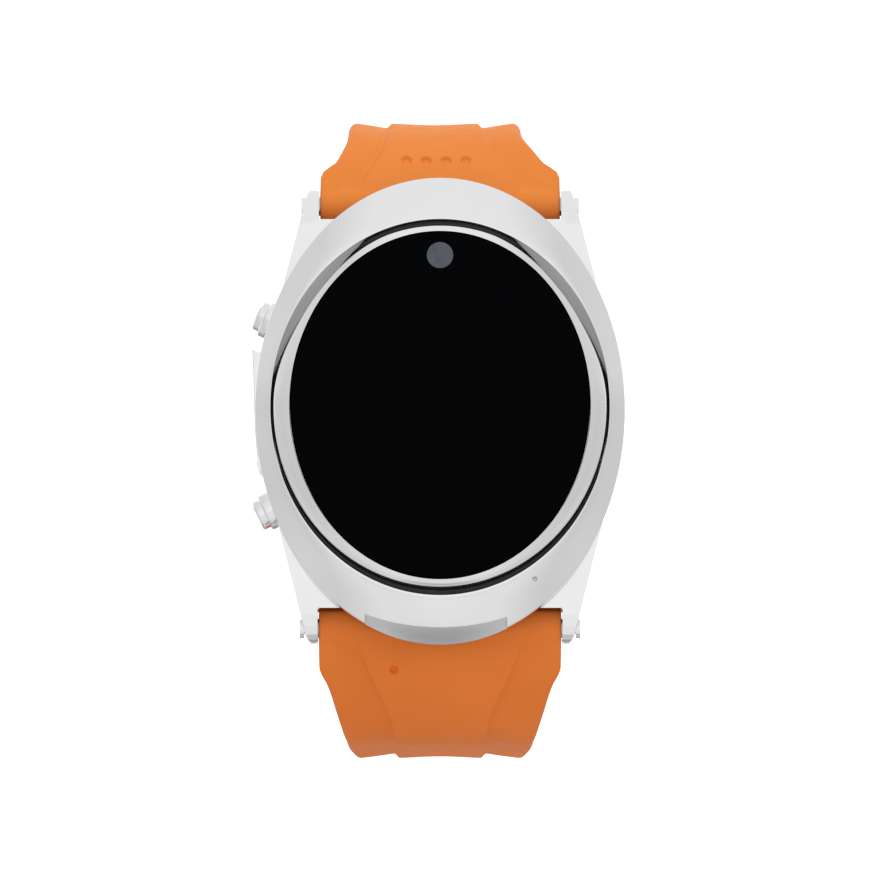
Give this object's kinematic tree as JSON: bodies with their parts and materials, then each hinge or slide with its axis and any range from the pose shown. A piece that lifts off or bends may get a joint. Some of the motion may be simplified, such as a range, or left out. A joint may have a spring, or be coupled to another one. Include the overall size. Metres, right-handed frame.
{
  "type": "gps running watch",
  "caption": "Touch-screen sports watch with a polished steel oval case, black glass, side pushers, a port door and an unfastened orange silicone strap with a tang buckle.",
  "frame": {"origin": "centre of the case back's flat outer face", "axes": "+Z out of the dial, +Y towards 12 o'clock, +X towards 3 o'clock; the pushers and the port door are on -X"},
  "size_m": [0.0467, 0.0814, 0.075],
  "materials": {
    "polished_steel": "polished",
    "satin_steel": "satin",
    "orange_silicone": "satin",
    "black_glass": "polished",
    "camera_glass": "polished",
    "display": "gloss",
    "black_seal": "matt",
    "dark_plastic": "matt",
    "circuit_board": "satin",
    "tinned_steel": "satin",
    "ceramic_antenna": "matt",
    "copper_flex": "satin",
    "battery_foil": "satin"
  },
  "bodies": {
    "case": {"mid_case": "polished_steel", "bezel": "polished_steel", "bezel_gasket": "black_seal", "inner_ring": "polished_steel", "glass": "black_glass", "camera_window": "camera_glass", "touch_sensor": "display", "display_panel": "display", "display_flex": "copper_flex", "carrier_frame": "dark_plastic", "camera_module": "dark_plastic", "main_board": "circuit_board", "shield_can": "tinned_steel", "gps_antenna": "ceramic_antenna", "sim_socket": "tinned_steel", "usb_socket": "tinned_steel", "microphone": "tinned_steel", "speaker": "dark_plastic", "vibration_motor": "tinned_steel", "battery": "battery_foil", "case_back": "satin_steel", "case_back_gasket": "black_seal", "case_back_screws": "satin_steel", "upper_switch": "tinned_steel", "lower_switch": "tinned_steel", "upper_collar": "polished_steel", "upper_spring": "satin_steel", "upper_o_ring": "black_seal", "lower_collar": "polished_steel", "lower_spring": "satin_steel", "lower_o_ring": "black_seal", "port_hinge_pin": "satin_steel", "upper_bar": "satin_steel", "lower_bar": "satin_steel", "lug_screws": "polished_steel"},
    "upper_pusher": {"upper_pusher": "polished_steel", "upper_clip": "satin_steel"},
    "lower_pusher": {"lower_pusher": "polished_steel", "lower_clip": "satin_steel"},
    "port_door": {"port_door": "polished_steel", "port_seal": "black_seal"},
    "strap_short": {"strap_short": "orange_silicone", "fixed_keeper": "orange_silicone"},
    "free_keeper": {"free_keeper": "orange_silicone"},
    "buckle": {"buckle_frame": "polished_steel", "buckle_pin": "satin_steel"},
    "buckle_tongue": {"buckle_tongue": "polished_steel"},
    "strap_long": {"strap_long": "orange_silicone"}
  },
  "joints": [
    {"name": "upper_pusher_press", "type": "slide", "parent": "case", "child": "upper_pusher", "axis": [0.8949, -0.4462, 0], "range_m": [0, 0.0008], "stiffness_N_per_m": 400, "springref_m": -0.0025, "deforming": ["upper_spring"]},
    {"name": "lower_pusher_press", "type": "slide", "parent": "case", "child": "lower_pusher", "axis": [0.8949, 0.4462, 0], "range_m": [0, 0.0008], "stiffness_N_per_m": 400, "springref_m": -0.0025, "deforming": ["lower_spring"]},
    {"name": "port_door_hinge", "type": "hinge", "parent": "case", "child": "port_door", "pos_m": [-0.022, -0.0064, 0.0045], "axis": [0, 0, 1], "range_deg": [0, 100]},
    {"name": "strap_short_hinge", "type": "hinge", "parent": "case", "child": "strap_short", "pos_m": [0, 0.0268, 0.004], "axis": [1, 0, 0], "range_deg": [-10, 15]},
    {"name": "strap_long_hinge", "type": "hinge", "parent": "case", "child": "strap_long", "pos_m": [0, -0.0268, 0.004], "axis": [-1, 0, 0], "range_deg": [0, 20]},
    {"name": "buckle_hinge", "type": "hinge", "parent": "strap_short", "child": "buckle", "pos_m": [0, 0.01953, -0.04238], "axis": [1, 0, 0], "range_deg": [-60, 25]},
    {"name": "tongue_hinge", "type": "hinge", "parent": "buckle", "child": "buckle_tongue", "pos_m": [0, 0.01953, -0.04238], "axis": [1, 0, 0], "range_deg": [0, 90]},
    {"name": "free_keeper_shift", "type": "hinge", "parent": "strap_short", "child": "free_keeper", "pos_m": [0, 0.01728, -0.021], "axis": [-1, 0, 0], "range_deg": [-22, 10]}
  ]
}
